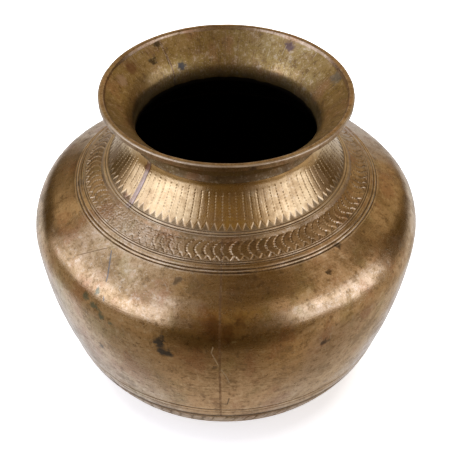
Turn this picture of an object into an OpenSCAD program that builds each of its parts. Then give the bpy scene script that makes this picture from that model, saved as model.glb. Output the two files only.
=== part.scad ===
// Lota: a brass water pot made of raised sheet, brazed together from rings, cones and pans.
// Every piece is a solid of revolution about Z; the origin is the centre of the flat underside.

/* [Overall] */
// Height from the underside to the top of the lip
height = 164; // [161:0.5:168]
// Widest diameter of the body
body_d = 194; // [190:0.5:200]
// Height of the widest line above the underside
widest_h = 89.4; // [86:0.2:92]
// Thickness of the sheet that the body, neck and mouth are raised from
sheet = 1.2; // [1:0.1:1.4]

/* [Shoulder and belly] */
// Slope of the shoulder below level, in degrees
shoulder_slope = 29.6; // [28:0.2:31]
// Radius of the turn between shoulder and belly
turn_r = 21.6; // [19:0.2:24]
// Angle below level at which the turn runs into the belly's long curve
belly_start_a = 5.2; // [4:0.2:7]
// Radius of the belly's long curve
belly_r = 216; // [205:1:230]
// Radii of the lines chased round the shoulder
shoulder_lines = [71, 73.5, 74.8];

/* [Base pan] */
// Height of the joint between belly and base pan
base_joint_h = 26; // [24:0.5:28]
// Radius of the pan's side, just under the joint
pan_r = 54; // [50:1:60]
// Angle below level at which the pan's side turns under to the flat
pan_turn_a = 40; // [38:1:43]
// Overlap of belly and pan in their rebated joint
base_lap = 5; // [3:0.5:7]

/* [Neck] */
// Outer radius of the flange by which the collar sits on the shoulder
flange_r = 60.8; // [60:0.1:61.5]
// Width of that flange
flange_w = 2.4; // [2:0.1:3]
// Thickness of that flange
flange_t = 0.9; // [0.7:0.1:1.1]
// Outer diameter of the throat
throat_d = 93; // [90:0.5:96]
// Height of the joint line at the throat
throat_h = 143.5; // [141:0.5:145]
// Length of the straight seat where collar and flare overlap
throat_seat = 3; // [2:0.5:4]
// Radius of the collar's hollow curve
collar_r = 120; // [100:5:200]

/* [Mouth] */
// Diameter over the lip
mouth_d = 121.7; // [119:0.1:124]
// Width of the lip's flat top
lip_w = 2.3; // [2:0.1:2.6]
// Height of the lip's outer face
lip_h = 3.1; // [2.8:0.1:3.5]
// Angle of the flare's straight part from upright
flare_a = 50; // [47:1:53]

/* [Seams] */
// Width of the closing seam in the body sheet
body_seam_w = 1.2; // [0.8:0.1:2]
// Width of the closing seam in the neck collar
neck_seam_w = 2.5; // [1.5:0.1:3.5]
// Width of the closing seam in the mouth flare
flare_seam_w = 0.8; // [0.6:0.1:1.5]
// Direction of the body seam about Z, in degrees
body_seam_az = 268.3; // [0:0.1:360]
// Direction of the neck seam about Z
neck_seam_az = 219.6; // [0:0.1:360]
// Direction of the flare seam about Z
flare_seam_az = 126; // [0:0.1:360]

/* [Hidden] */
$fn = 256;

line_w = 0.9;        // chased line, width
line_d = 0.35;       // chased line, depth
bevel = 0.4;         // small edge bevels
fillet = 1;          // leg of a spelter fillet
hole_r = 57.2;       // hole in the shoulder, under the collar

brass = [0.62, 0.47, 0.26];
dark_brass = [0.50, 0.36, 0.19];
spelter = [0.70, 0.58, 0.45];

// Point at distance r from c, in the direction a
function ray(a, r, c = [0, 0]) = [c[0] + r * cos(a), c[1] + r * sin(a)];

// n + 1 points of an arc about c
function arc(c, r, a0, a1, n) = [for (i = [0 : n]) ray(a0 + (a1 - a0) * i / n, r, c)];

// Point a fraction t of the way from p to q
function between(p, q, t) = p + (q - p) * t;

// Arc of radius r from p to q, bulging to the left of the way from p to q
function bowed(p, q, r, n) =
    let (half = norm(q - p) / 2,
         dir = (q - p) / (2 * half),
         c = (p + q) / 2 + sqrt(r * r - half * half) * [dir[1], -dir[0]],
         a0 = atan2(p[1] - c[1], p[0] - c[0]),
         a1 = atan2(q[1] - c[1], q[0] - c[0]),
         sweep = a1 - a0 > 180 ? a1 - a0 - 360 : (a1 - a0 < -180 ? a1 - a0 + 360 : a1 - a0))
    arc(c, r, a0, a0 + sweep, n);

function reversed(list) = [for (i = [len(list) - 1 : -1 : 0]) list[i]];

// The body's outer surface: a cone, the turn, the belly's curve, the pan's side, the pan's foot.
// Each curve starts where the one above it ends, in the same direction.
turn_c = [body_d / 2 - turn_r, widest_h];
shoulder_a = 90 - shoulder_slope;
belly_c = ray(-belly_start_a, turn_r - belly_r, turn_c);
joint_a = asin((belly_c[1] - base_joint_h) / belly_r);
lap_a = joint_a - base_lap / belly_r * 180 / PI;
line_a = line_w / belly_r * 90 / PI;
pan_c = ray(-joint_a, belly_r - pan_r, belly_c);
pan_end = ray(-pan_turn_a, pan_r, pan_c);
foot_r = pan_end[1] / (1 - sin(pan_turn_a));
foot_c = ray(-pan_turn_a, pan_r - foot_r, pan_c);

// Point of the shoulder's cone at radius r; depth counts inwards from the outer surface
function on_shoulder(r, depth = 0) =
    let (start = ray(shoulder_a, turn_r - depth, turn_c))
    [r, start[1] + (start[0] - r) * tan(shoulder_slope)];

// A V-shaped chased line across the shoulder's cone at radius r
function shoulder_line(r) =
    [on_shoulder(r - line_w / 2), on_shoulder(r, line_d), on_shoulder(r + line_w / 2)];

function turn_arc(depth) = arc(turn_c, turn_r - depth, shoulder_a, -belly_start_a, 14);
function belly_arc(depth, end_a) = arc(belly_c, belly_r - depth, -belly_start_a, -end_a, 16);
function lap_arc(depth) = arc(belly_c, belly_r - depth, -lap_a, -joint_a, 2);
function pan_arc(depth) = arc(pan_c, pan_r - depth, -joint_a, -pan_turn_a, 6);
function foot_arc(depth) = arc(foot_c, foot_r - depth, -pan_turn_a, -90, 12);

// The neck's places
flange_in_r = flange_r - flange_w;
throat_r = throat_d / 2;
skirt_r = throat_r - sheet;
seat_h = throat_h - throat_seat;

// The mouth's places: the flare's outer surface is a straight tube, an arc and a cone,
// and the arc's radius follows from where the cone has to meet the lip
lip_out_r = mouth_d / 2;
lip_in_r = lip_out_r - lip_w;
flare_start_h = throat_h + fillet;
flare_rise = sheet / sin(flare_a);
flare_end_h = height - bevel - flare_rise;
flare_run = lip_in_r - skirt_r;
flare_r = (flare_end_h - flare_start_h - flare_run / tan(flare_a))
          / (sin(flare_a) - (1 - cos(flare_a)) / tan(flare_a));
flare_c = [skirt_r + flare_r, flare_start_h];

function flare_arc(depth) = arc(flare_c, flare_r + depth, 180, 180 - flare_a, 10);

// Angle that a seam of width w takes up at radius r
function seam_angle(w, r) = w / r * 180 / PI;

body_gap = seam_angle(body_seam_w, body_d / 2);
neck_gap = seam_angle(neck_seam_w, (throat_r + flange_in_r) / 2);
flare_gap = seam_angle(flare_seam_w, (skirt_r + lip_in_r) / 2);

// A sheet ring with a gap left at direction az, and the seam that fills the gap
module open_ring(points, az, gap) {
    rotate_extrude(angle = 360 - gap, start = az + gap / 2) polygon(points);
}

module seam_strip(points, az, gap) {
    rotate_extrude(angle = gap, start = az - gap / 2) polygon(points);
}

module full_ring(points) {
    rotate_extrude() polygon(points);
}

lip_section = [
    [lip_in_r, height - lip_h],
    [lip_out_r - bevel, height - lip_h],
    [lip_out_r, height - lip_h + bevel],
    [lip_out_r, height - bevel],
    [lip_out_r - bevel, height],
    [lip_in_r + bevel, height],
    [lip_in_r, height - bevel]
];

flare_section = concat(
    [[skirt_r, seat_h]],
    flare_arc(0),
    [[lip_in_r, flare_end_h], [lip_in_r, flare_end_h + flare_rise]],
    reversed(flare_arc(sheet)),
    [[skirt_r - sheet, seat_h]]
);

collar_section = concat(
    [on_shoulder(hole_r), on_shoulder(flange_r)],
    [on_shoulder(flange_r, -flange_t)],
    bowed(on_shoulder(flange_in_r, -flange_t), [throat_r, seat_h], collar_r, 8),
    [[throat_r, throat_h], [skirt_r, throat_h]],
    reversed(bowed(on_shoulder(hole_r), [skirt_r, seat_h], collar_r, 8))
);

body_section = concat(
    [on_shoulder(hole_r)],
    [for (r = shoulder_lines) each shoulder_line(r)],
    turn_arc(0),
    belly_arc(0, joint_a - line_a),
    [ray(-joint_a, belly_r - line_d, belly_c)],
    reversed(lap_arc(sheet / 2)),
    reversed(belly_arc(sheet, lap_a)),
    reversed(turn_arc(sheet)),
    [on_shoulder(hole_r, sheet)]
);

pan_section = concat(
    [ray(-joint_a, belly_r - line_d, belly_c)],
    [ray(-joint_a - line_w / pan_r * 90 / PI, pan_r, pan_c)],
    [for (i = [1 : 6]) pan_arc(0)[i]],
    foot_arc(0),
    [[0, 0], [0, sheet]],
    reversed(foot_arc(sheet)),
    reversed(pan_arc(sheet)),
    reversed(lap_arc(sheet)),
    lap_arc(sheet / 2)
);

module lip_ring() {
    color(dark_brass) full_ring(lip_section);
}

module mouth_flare() {
    color(brass) open_ring(flare_section, flare_seam_az, flare_gap);
}

module flare_seam() {
    color(spelter) seam_strip(flare_section, flare_seam_az, flare_gap);
}

module neck_collar() {
    color(brass) open_ring(collar_section, neck_seam_az, neck_gap);
}

module neck_seam() {
    color(spelter) seam_strip(collar_section, neck_seam_az, neck_gap);
}

module body_shell() {
    color(brass) open_ring(body_section, body_seam_az, body_gap);
}

module body_seam() {
    color(spelter) seam_strip(body_section, body_seam_az, body_gap);
}

module base_pan() {
    color(dark_brass) full_ring(pan_section);
}

// Fillet in the corner under the lip, against the flare's cone
module lip_braze() {
    color(spelter) full_ring([
        [lip_in_r, flare_end_h],
        [lip_in_r - fillet, flare_end_h - fillet / tan(flare_a)],
        [lip_in_r, height - lip_h]
    ]);
}

// Fillet on the collar's top edge, against the flare's tube
module throat_braze() {
    color(spelter) full_ring([
        [skirt_r, throat_h],
        [throat_r, throat_h],
        [skirt_r, flare_start_h]
    ]);
}

// Fillet at the edge of the collar's flange, on the shoulder
module collar_braze() {
    color(spelter) full_ring([
        on_shoulder(flange_r),
        on_shoulder(flange_r + fillet),
        on_shoulder(flange_r, -flange_t)
    ]);
}

// Bead inside the pot, over the end of the base pan's rim
module base_braze() {
    above = reversed(belly_arc(sheet, lap_a))[1];
    joint = lap_arc(sheet)[0];
    below = lap_arc(sheet)[1];
    color(spelter) full_ring([
        between(joint, above, 0.3),
        joint,
        between(joint, below, 0.4),
        ray(-lap_a, belly_r - sheet - fillet / 2, belly_c)
    ]);
}

lip_ring();
mouth_flare();
flare_seam();
neck_collar();
neck_seam();
body_shell();
body_seam();
base_pan();
lip_braze();
throat_braze();
collar_braze();
base_braze();
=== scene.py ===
import math
from collections import namedtuple

import bmesh
import bpy
import numpy as np
from mathutils import Matrix, Vector


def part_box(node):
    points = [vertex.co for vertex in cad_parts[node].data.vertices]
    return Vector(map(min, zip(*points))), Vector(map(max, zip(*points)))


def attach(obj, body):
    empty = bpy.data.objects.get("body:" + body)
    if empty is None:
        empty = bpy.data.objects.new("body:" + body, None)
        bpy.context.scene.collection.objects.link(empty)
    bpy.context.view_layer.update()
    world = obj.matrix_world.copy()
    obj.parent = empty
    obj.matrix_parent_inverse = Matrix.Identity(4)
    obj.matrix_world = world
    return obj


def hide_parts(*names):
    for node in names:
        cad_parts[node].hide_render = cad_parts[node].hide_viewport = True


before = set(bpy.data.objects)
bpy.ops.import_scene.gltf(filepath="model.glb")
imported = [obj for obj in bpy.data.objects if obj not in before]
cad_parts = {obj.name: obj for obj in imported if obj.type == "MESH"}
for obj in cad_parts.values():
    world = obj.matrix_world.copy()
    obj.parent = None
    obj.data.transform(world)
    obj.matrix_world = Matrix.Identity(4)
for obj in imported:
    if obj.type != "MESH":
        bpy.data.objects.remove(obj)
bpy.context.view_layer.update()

# Lengths are in millimetres until a mesh is made. Angles are in degrees, anticlockwise from +X.
MM = 0.001
FRONT = -90.0
BODY = "root"

# ---------------- sizes, as in the CAD source
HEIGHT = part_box("lip_ring")[1].z / MM
SHEET = 1.2  # thickness
SHOULDER_SLOPE = 29.6
TURN_R = 21.6  # the turn from shoulder to belly
WIDEST_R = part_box("body_shell")[1].y / MM
WIDEST_H = 89.4
BELLY_START = 5.2  # angle below the widest height where the turn becomes the belly
BELLY_R = 216.0
JOINT_H = 26.0  # the body's lower edge, where the base pan shows
PAN_R = 54.0
PAN_TURN = 40.0  # angle where the pan's side becomes its foot
LAP = 5.0  # the pan's rim inside the belly
HOLE_R = 57.2  # the hole in the shoulder, under the collar
FLANGE_R = 60.8
FLANGE_W = 2.4
FLANGE_T = 0.9
THROAT_R = 46.5
THROAT_H = 143.5
SEAT = 3.0  # the flare's edge inside the collar
COLLAR_R = 120.0  # the bow of the collar's side
LIP_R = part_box("lip_ring")[1].x / MM
LIP_W = 2.3
LIP_H = 3.1
BEVEL = 0.4
FILLET = 1.0
FLARE_ANGLE = 50.0
# where each seam is, and the angle that its strip takes
BODY_SEAM = (268.3, 0.709)
NECK_SEAM = (219.6, 2.731)
FLARE_SEAM = (126.0, 0.883)

# ---------------- outlines


def ray(angle, radius, centre=(0.0, 0.0)):
    """Point at that distance from centre, in that direction."""
    a = math.radians(angle)
    return np.array([centre[0] + radius * math.cos(a), centre[1] + radius * math.sin(a)])


def arc(centre, radius, start, end, step=0.4):
    """Points of an arc about centre."""
    count = max(3, math.ceil(abs(math.radians(end - start)) * radius / step))
    a = np.radians(np.linspace(start, end, count + 1))
    return np.column_stack([centre[0] + radius * np.cos(a), centre[1] + radius * np.sin(a)])


def bowed(p, q, radius):
    """Arc from p to q, bulging to the left of the way from p to q."""
    half = np.linalg.norm(q - p) / 2
    along = (q - p) / (2 * half)
    centre = (p + q) / 2 + math.sqrt(radius**2 - half**2) * np.array([along[1], -along[0]])
    start = math.degrees(math.atan2(p[1] - centre[1], p[0] - centre[0]))
    end = math.degrees(math.atan2(q[1] - centre[1], q[0] - centre[0]))
    turn = (end - start + 180) % 360 - 180
    return arc(centre, radius, start, start + turn)


def eased(p, corner, q, count=16):
    """A curve from p to q that leaves and arrives along the lines to the corner."""
    t = np.linspace(0, 1, count + 1)[:, None]
    return p * (1 - t) ** 2 + 2 * corner * t * (1 - t) + q * t**2


class Outline:
    """A line in the half-plane (distance from the axis, height), read by distance along it."""

    def __init__(self, *parts):
        points = np.vstack([np.atleast_2d(p) for p in parts])
        keep = np.append(True, np.linalg.norm(np.diff(points, axis=0), axis=1) > 1e-6)
        self.points = points[keep]
        steps = np.linalg.norm(np.diff(self.points, axis=0), axis=1)
        self.along = np.append(0.0, np.cumsum(steps))
        self.length = self.along[-1]

    def at(self, s):
        """The point at distance s."""
        return np.array([np.interp(s, self.along, self.points[:, i]) for i in (0, 1)])

    def normal(self, s, reach=0.25):
        """Unit normal to the left of the line's direction."""
        d = self.at(min(s + reach, self.length)) - self.at(max(s - reach, 0.0))
        return np.array([-d[1], d[0]]) / np.linalg.norm(d)

    def crossing(self, axis, value):
        """Distance along the line to where its radius (axis 0) or height (axis 1) is first value."""
        away = self.points[:, axis] - value
        i = int(np.argmax(away[:-1] * away[1:] <= 0))
        share = away[i] / (away[i] - away[i + 1])
        return float(self.along[i] + share * (self.along[i + 1] - self.along[i]))

    def at_radius(self, r):
        return self.crossing(0, r)

    def at_height(self, z):
        return self.crossing(1, z)


turn_c = np.array([WIDEST_R - TURN_R, WIDEST_H])
shoulder_a = 90 - SHOULDER_SLOPE
belly_c = ray(-BELLY_START, TURN_R - BELLY_R, turn_c)
joint_a = math.degrees(math.asin((belly_c[1] - JOINT_H) / BELLY_R))
lap_a = joint_a - math.degrees(LAP / BELLY_R)
pan_c = ray(-joint_a, BELLY_R - PAN_R, belly_c)
pan_end = ray(-PAN_TURN, PAN_R, pan_c)
foot_r = pan_end[1] / (1 - math.sin(math.radians(PAN_TURN)))
foot_c = ray(-PAN_TURN, PAN_R - foot_r, pan_c)
slope = math.tan(math.radians(SHOULDER_SLOPE))
slope_cos = math.cos(math.radians(SHOULDER_SLOPE))


def on_shoulder(r, depth=0.0):
    """Point of the shoulder's cone at radius r, that deep under its surface."""
    start = ray(shoulder_a, TURN_R - depth, turn_c)
    return np.array([r, start[1] + (start[0] - r) * slope])


def body_line(depth, end):
    """The body's surface from the hole under the collar to the angle end on the belly."""
    return Outline(
        on_shoulder(HOLE_R, depth),
        arc(turn_c, TURN_R - depth, shoulder_a, -BELLY_START),
        arc(belly_c, BELLY_R - depth, -BELLY_START, -end),
    )


def pan_line(depth):
    """The base pan's surface from its rim to the axis."""
    return Outline(
        arc(pan_c, PAN_R - depth, -joint_a, -PAN_TURN),
        arc(foot_c, foot_r - depth, -PAN_TURN, -90),
        [0.0, depth],
    )


body_outer = body_line(0, joint_a)
body_inner = body_line(SHEET, lap_a)

NECK_EASE = 8.0  # length over which the collar's side curves into the throat
flange_in = FLANGE_R - FLANGE_W
seat_h = THROAT_H - SEAT
skirt_r = THROAT_R - SHEET
seat_corner = np.array([THROAT_R, seat_h])
cone = Outline(bowed(on_shoulder(flange_in, -FLANGE_T), seat_corner, COLLAR_R)[::-1])
cone_start = int(np.searchsorted(cone.along, NECK_EASE))
collar_line = Outline(
    eased(np.array([THROAT_R, THROAT_H]), seat_corner, cone.points[cone_start]),
    cone.points[cone_start:],
    on_shoulder(FLANGE_R, -FLANGE_T),
    on_shoulder(FLANGE_R),
)
collar_inner = Outline(
    on_shoulder(HOLE_R),
    bowed(on_shoulder(HOLE_R), np.array([skirt_r, seat_h]), COLLAR_R),
    np.array([skirt_r, THROAT_H]),
)

lip_in_r = LIP_R - LIP_W
flare_start = THROAT_H + FILLET
flare_rise = SHEET / math.sin(math.radians(FLARE_ANGLE))
flare_end = HEIGHT - BEVEL - flare_rise
flare_cos = math.cos(math.radians(FLARE_ANGLE))
flare_tan = math.tan(math.radians(FLARE_ANGLE))
flare_r = (flare_end - flare_start - (lip_in_r - skirt_r) / flare_tan) / (
    math.sin(math.radians(FLARE_ANGLE)) - (1 - flare_cos) / flare_tan
)
flare_c = np.array([skirt_r + flare_r, flare_start])
flare_inner = Outline(
    [lip_in_r, flare_end + flare_rise],
    arc(flare_c, flare_r + SHEET, 180 - FLARE_ANGLE, 180),
    [skirt_r - SHEET, seat_h],
)
flare_outer = Outline(
    [skirt_r, seat_h],
    arc(flare_c, flare_r, 180, 180 - FLARE_ANGLE),
    [lip_in_r, flare_end],
)

# ---------------- noise and shapes on the surfaces

rng = np.random.default_rng(41)
GRID = 251  # size of the table of random numbers


def wave_field(count, lowest, highest, per_mm):
    """Smooth noise over a piece of revolution, as a sum of waves: a function of azimuth and path."""
    turns = rng.integers(lowest, highest + 1, count)
    pitch = rng.uniform(-per_mm, per_mm, count)
    phase = rng.uniform(0, 2 * math.pi, count)
    size = rng.uniform(0.5, 1.0, count)

    def field(az, s):
        a = np.radians(az)[..., None]
        return (size * np.sin(turns * a + pitch * s + phase)).sum(-1) / math.sqrt(count)

    return field


body_waves = wave_field(14, 2, 9, 0.09)
fine_waves = wave_field(16, 12, 34, 0.5)
edge_waves = wave_field(12, 3, 40, 0.3)
hammer_waves = wave_field(22, 14, 44, 0.4)
pattern_waves = wave_field(10, 5, 30, 0.25)
jitter = rng.normal(0, 1, (GRID, GRID, 3))  # how far each dot and row is off


def step(x, low, high):
    """0 below low, 1 above high, smooth in between."""
    t = np.clip((x - low) / (high - low), 0, 1)
    return t * t * (3 - 2 * t)


def window(x, low, high, soft):
    """1 from low to high, fading to 0 over soft on each side."""
    return step(x, low - soft, low) * (1 - step(x, high, high + soft))


def swell(waves, middle=1.2):
    """How deep the waves of a dented surface go, from 0 up."""
    return np.clip(middle + waves, 0, 3)


def groove(x, centre, width):
    """1 on the line, 0 at half its width."""
    return np.clip(1 - np.abs(x - centre) / (width / 2), 0, 1)


def pit(dx, dy, size, rim):
    """A punched dot, 1 at its middle, with a raised rim of height rim."""
    q = np.hypot(dx, dy) / size
    return np.exp(-q * q) - rim * np.exp(-(((q - 1.75) / 0.5) ** 2))


class Skin:
    """The finish of one ring of vertices: depth under the plain surface, dirt and painted shade, and
    brightness from wear and painted highlights.
    """

    def __init__(self, az, grime_and_shade=0.0):
        self.depth = np.zeros_like(az)
        self.grime_and_shade = np.full_like(az, grime_and_shade)
        self.bright = np.zeros_like(az)

    def add(self, shape, depth=0.0, grime_and_shade=0.0, bright=0.0):
        self.depth = self.depth + shape * depth
        self.grime_and_shade = self.grime_and_shade + shape * grime_and_shade
        self.bright = self.bright + shape * bright

    def engrave(self, gap, width, depth, grime_and_shade=0.9, shine=0.5):
        """A cut line with dirt in it and a raised burr on each side, painted bright as wear and
        highlight. gap is the way to its middle.
        """
        self.add(groove(gap, 0, width), depth, grime_and_shade)
        for side in (-1, 1):
            self.add(groove(gap, 0.9 * side * width, 0.9 * width), -0.2 * depth, 0, shine)


# ---------------- meshes

# One ring of vertices: distance along its line, place, normal, columns, and whether it is outside.
Ring = namedtuple("Ring", "along r z nr nz cols outer")
SHARP_ANGLE = 55.0


def rings_on(line, stops, cols, outer=True, side=1):
    """Rings of vertices at these distances along a line, with that many columns round.
    side is 1 where the metal lies to the right of the line, and -1 where it lies to the left."""
    made = []
    for s in stops:
        (r, z), (nr, nz) = line.at(s), line.normal(s)
        made.append(Ring(s, r, z, side * nr, side * nz, cols, outer))
    return made


def spread(low, high, gap, ends=True):
    """Evenly spaced values from low to high, no further apart than gap."""
    count = max(1, math.ceil(abs(high - low) / gap - 1e-9))
    values = np.linspace(low, high, count + 1)
    return values if ends else values[:-1]


def with_lines(stops, lines, reach=0.5, gap=0.125):
    """The same stops, with closer ones where each line is cut."""
    kept = [s for s in stops if all(abs(s - line) > reach + gap / 2 for line in lines)]
    extra = [line + d for line in lines for d in np.arange(-reach, reach + gap / 2, gap)]
    every = sorted(kept + [s for s in extra if stops[0] < s < stops[-1]])
    return [s for i, s in enumerate(every) if i == 0 or s - every[i - 1] > gap / 2]


CROWDING = 1.6  # 1 leaves the columns evenly spaced


def crowd(share, rows):
    """Moves evenly spaced columns towards the middle of each row, where its dots are."""
    place = share * rows
    side = 2 * (place - np.floor(place)) - 1
    return (np.floor(place) + 0.5 + 0.5 * np.sign(side) * np.abs(side) ** CROWDING) / rows


def bridge(a, a_cols, b, b_cols, is_open):
    """Faces between two rings whose first vertices are a and b."""
    if a_cols < b_cols:
        return [f[::-1] for f in bridge(b, b_cols, a, a_cols, is_open)]
    ratio = a_cols // b_cols
    k = np.arange(b_cols)
    nxt = k + 1 if is_open else (k + 1) % b_cols
    fine = [a + (k * ratio + q if is_open else (k * ratio + q) % a_cols) for q in range(ratio + 1)]
    return np.column_stack([b + k, b + nxt, *fine[::-1]]).tolist()


def new_object(name, data):
    """A new object in the scene."""
    made = bpy.data.objects.new(name, data)
    bpy.context.scene.collection.objects.link(made)
    return made


def revolve(name, rings, relief, seam=None, strip=False, poles=False, rows=0):
    """A closed sheet of revolution. relief gives each ring's Skin. seam is (azimuth, width) of the gap
    left open for a seam, and a strip fills that gap. rows crowds the columns into that many rows."""
    is_open = seam is not None
    start, sweep = FRONT, 360.0
    if is_open:
        start, sweep = seam[0] + seam[1] / 2, 360 - seam[1]
    if strip:
        start, sweep = seam[0] - seam[1] / 2, seam[1]
    points, grime_and_shade, bright, first = [], [], [], []
    total = 0
    for ring in rings:
        count = ring.cols + (1 if is_open else 0)
        share = np.arange(count) / ring.cols
        az = start + sweep * (crowd(share, rows) if rows else share)
        skin = relief(ring, az)
        r = ring.r - skin.depth * ring.nr
        z = ring.z - skin.depth * ring.nz
        a = np.radians(az)
        points.append(np.column_stack([r * np.cos(a), r * np.sin(a), z]))
        grime_and_shade.append(np.clip(skin.grime_and_shade, 0, 1))
        bright.append(np.clip(skin.bright, 0, 1))
        first.append(total)
        total += count
    faces = []
    pairs = list(zip(range(len(rings) - 1), range(1, len(rings))))
    if not poles:
        pairs.append((len(rings) - 1, 0))
    for i, j in pairs:
        faces += bridge(first[i], rings[i].cols, first[j], rings[j].cols, is_open)
    if is_open:
        last = [f + ring.cols for f, ring in zip(first, rings)]
        faces += [first[::-1], last]
    if poles:
        faces.append([first[0] + k for k in range(rings[0].cols)])
        faces.append([first[-1] + k for k in range(rings[-1].cols)][::-1])
    mesh = bpy.data.meshes.new(name)
    mesh.from_pydata((np.vstack(points) * MM).tolist(), [], faces)
    for label, values in (("grime_and_shade", grime_and_shade), ("bright", bright)):
        data = mesh.attributes.new(label, "FLOAT", "POINT").data
        data.foreach_set("value", np.concatenate(values).astype(np.float32))
    whole = bmesh.new()
    whole.from_mesh(mesh)
    if whole.calc_volume(signed=True) < 0:
        mesh.flip_normals()
    whole.free()
    mesh.polygons.foreach_set("use_smooth", [True] * len(mesh.polygons))
    mesh.set_sharp_from_angle(angle=math.radians(SHARP_ANGLE))
    mesh.update()
    return new_object(name, mesh)


# ---------------- the chased work

CRESCENTS = 100
BAND_IN = 61.2
BAND_OUT = 68.3
CRESCENT_LOW = 4.9  # how far out a crescent's bow is lowest
CRESCENT_BEND = 0.19
CRESCENT_DOT = 0.36
CRESCENT_PITCH = 1.15
CRESCENT_DEPTH = 0.5
CUT_W = 0.8
CHEVRON_H = 2.3
CHEVRON_W = 1.7
WORN = (208, 247)  # azimuths between which the band is rubbed away
SHOULDER_FROM = 110.0  # the body's surface is the shoulder above this height
CALM_SHOULDER = (64, 78)  # radii over which the dents start
CALM_BELLY = (27, 38)  # heights over which they end
DENT = 0.22
HAMMER = 0.045
# radius, width and depth of each line on the shoulder
SHOULDER_LINES = ((70.3, 0.55, 0.16), (71.2, 0.6, 0.2), (73.5, 0.8, 0.34), (74.9, 0.8, 0.34))
LINES_END = 76.5
GLINTS = ((244, 253), (262, 271), (318, 327), (336, 346))  # azimuths where their ridge is raised and carries a painted glint
GLINT_R = 74.2
# height and depth of each line above the base
LOW_LINES = ((33.6, 0.14), (31.0, 0.08))
LOW_LINE_W = 0.8  # their width


def dot_row(across, along, column, pitch, seed, size, rim):
    """Depth of a row of punched dots. across is the distance from the row's line."""
    k = np.round(along / pitch).astype(int)
    shake = jitter[column % GRID, (k + seed) % GRID]
    dx = across + 0.04 * shake[..., 0]
    dy = along - k * pitch + 0.04 * shake[..., 1]
    return pit(dx, dy, size, rim) * (1 + 0.2 * shake[..., 2])


def crescents(skin, r, az):
    """The band of dotted crescents, each with a chevron at its foot."""
    out = (r - BAND_IN) / slope_cos * np.ones_like(az)
    length = (BAND_OUT - BAND_IN) / slope_cos
    wide = 2 * math.pi * r / CRESCENTS
    lean = CRESCENT_BEND * (np.minimum(out, length) - CRESCENT_LOW) ** 2
    place = az / 360 * CRESCENTS - lean / wide + 0.07 * pattern_waves(az, r)
    column = np.floor(place).astype(int)
    across = (place - column - 0.5) * wide
    fade = np.clip(0.85 + 0.25 * jitter[column % GRID, 11, 1], 0.35, 1.1)
    dots = dot_row(across, out, column, CRESCENT_PITCH, 7, CRESCENT_DOT, 0.28)
    stroke = 0.3 * groove(across, 0, CUT_W)
    cut = np.maximum(dots, stroke) * window(out, 0.2, length, 0.4)
    below = out - length + 0.5
    fall = CHEVRON_W * below / CHEVRON_H
    chevron = np.maximum(groove(across, fall, CUT_W), groove(across, -fall, CUT_W))
    cut = np.maximum(cut, chevron * ((below > 0) & (below < CHEVRON_H)))
    keep = 1 - 0.75 * window(az % 360, *WORN, 10) * np.clip(0.7 + 0.6 * edge_waves(az, 3), 0, 1)
    cut = cut * keep * fade
    # the cuts are painted bright, partly as wear and partly as a painted highlight
    skin.add(cut, CRESCENT_DEPTH, 0, 1.1)
    ground = window(out, -0.4, length + 1.6, 0.4)
    skin.add(ground * np.clip(1 - 1.5 * cut, 0, 1), 0, 0.14)


def scuffs(skin, s, az, strength, cell, seed):
    """Short scratches in random directions, one to a cell."""
    u = np.radians(az) * BAND_OUT / cell
    v = s / cell
    i = np.floor(u).astype(int)
    j = int(v) + seed
    turn = math.pi * jitter[i % GRID, j % GRID, 0]
    dx = (u - i - 0.5) * cell
    dy = (v - int(v) - 0.5) * cell
    off = dx * np.sin(turn) - dy * np.cos(turn)
    end = dx * np.cos(turn) + dy * np.sin(turn)
    stroke = groove(off, 0, 0.5) * (np.abs(end) < 0.5 * cell) * strength
    light = jitter[i % GRID, j % GRID, 1] > 0
    skin.add(stroke, 0.09, 0.35, 0)
    skin.add(stroke * light, 0, -0.35, 0.8)


def body_relief(ring, az):
    """Dents, hammer marks, the band of crescents and the lines. Painted black shade inside and under the
    collar.
    """
    on_top = ring.z > SHOULDER_FROM
    # painted shade: the inside and the part under the collar are black
    if not ring.outer or (on_top and ring.r < flange_in):
        return Skin(az, 1.0)
    skin = Skin(az)
    rough = step(ring.r, *CALM_SHOULDER) if on_top else step(ring.z, *CALM_BELLY)
    skin.add(rough * swell(body_waves(az, ring.along), 1.1), DENT)
    skin.add(rough * swell(hammer_waves(az, ring.along)), HAMMER)
    if on_top and BAND_IN - 1.2 < ring.r < BAND_OUT + 2.7:
        crescents(skin, ring.r, az)
        worn = window(az % 360, *WORN, 8) * window(ring.r, 61.5, 69.5, 0.5)
        for cell, seed in ((1.7, 0), (2.4, 90)):
            scuffs(skin, ring.along, az, worn, cell, seed)
    if on_top and ring.r < LINES_END:
        ragged = np.clip(0.75 + 0.35 * fine_waves(az, 2.0), 0.2, 1.1)
        for r, width, deep in SHOULDER_LINES:
            skin.engrave((ring.r - r) / slope_cos, width, deep * ragged, 0.9, 0.8 * ragged)
        for low, high in GLINTS:
            # painted glints: the raised ridge is painted bright and kept clean at these azimuths
            skin.add(groove(ring.r, GLINT_R, 0.9) * window(az % 360, low, high, 2), -0.12, -0.5, 1)
    for z, deep in LOW_LINES:
        skin.engrave(ring.z - z, LOW_LINE_W, deep, 5 * deep, 1.5 * deep)
    skin.add(step(-ring.z, -JOINT_H - 1.2, -JOINT_H - 0.2) * np.ones_like(az), 0, 1)
    return skin


COLLAR_ROWS = 95
COLLAR_COLS = 12  # columns of the mesh to a row of dots
COLLAR_PITCH = 1.36
COLLAR_DOT = 0.26
COLLAR_DEPTH = 0.2
TRIANGLE_H = 3.6
DOTS_START = 4.9
# radius, width and depth of each line on the collar's flange
FLANGE_LINES = ((58.5, 0.5, 0.12), (59.65, 0.8, 0.2), (60.45, 0.3, 0.06))
# distance from the neck seam's edge, width, depth and grime of the lines along it
NECK_SEAM_LINES = ((-0.1, 0.9, 0.08, 0.9), (-2.3, 0.5, 0.05, 0.3))
collar_foot = collar_line.at_radius(flange_in)


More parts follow.
